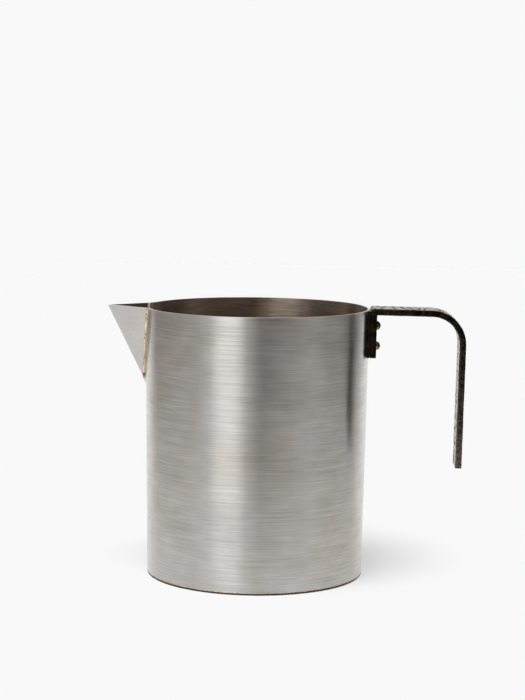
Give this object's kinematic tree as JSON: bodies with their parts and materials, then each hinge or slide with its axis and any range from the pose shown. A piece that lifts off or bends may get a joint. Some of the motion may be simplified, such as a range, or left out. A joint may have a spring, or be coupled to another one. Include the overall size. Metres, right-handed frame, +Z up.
{
  "type": "wax melting jug",
  "caption": "Tapered sheet-steel pouring jug with a folded V spout, brass-brazed seams and a riveted flat-bar handle with a free lower end.",
  "frame": {"origin": "on the pot's axis, at the underside of the base", "axes": "+Z up the pot's axis, -X towards the spout's tip, +X towards the handle, Y across"},
  "size_m": [0.1984, 0.1242, 0.1497],
  "materials": {
    "body_steel": "brushed round the body in fine lines, cloudy",
    "base_steel": "rolled sheet, dull",
    "spout_steel": "satin sheet with light hand scratches",
    "brass": "pale brazing brass, dressed back by hand, pitted",
    "black_iron": "forged bar, hammered, oil-blackened and waxed",
    "rivet_metal": "copper-bronze rivet heads, darkened on top"
  },
  "bodies": {
    "root": {"body_wall": "body_steel", "wall_seam": "brass", "base_disc": "base_steel", "base_braze": "brass", "spout": "spout_steel", "spout_braze": "brass", "handle_strap": "black_iron", "handle_packer": "black_iron", "rivet_upper": "rivet_metal", "rivet_lower": "rivet_metal"}
  },
  "joints": []
}
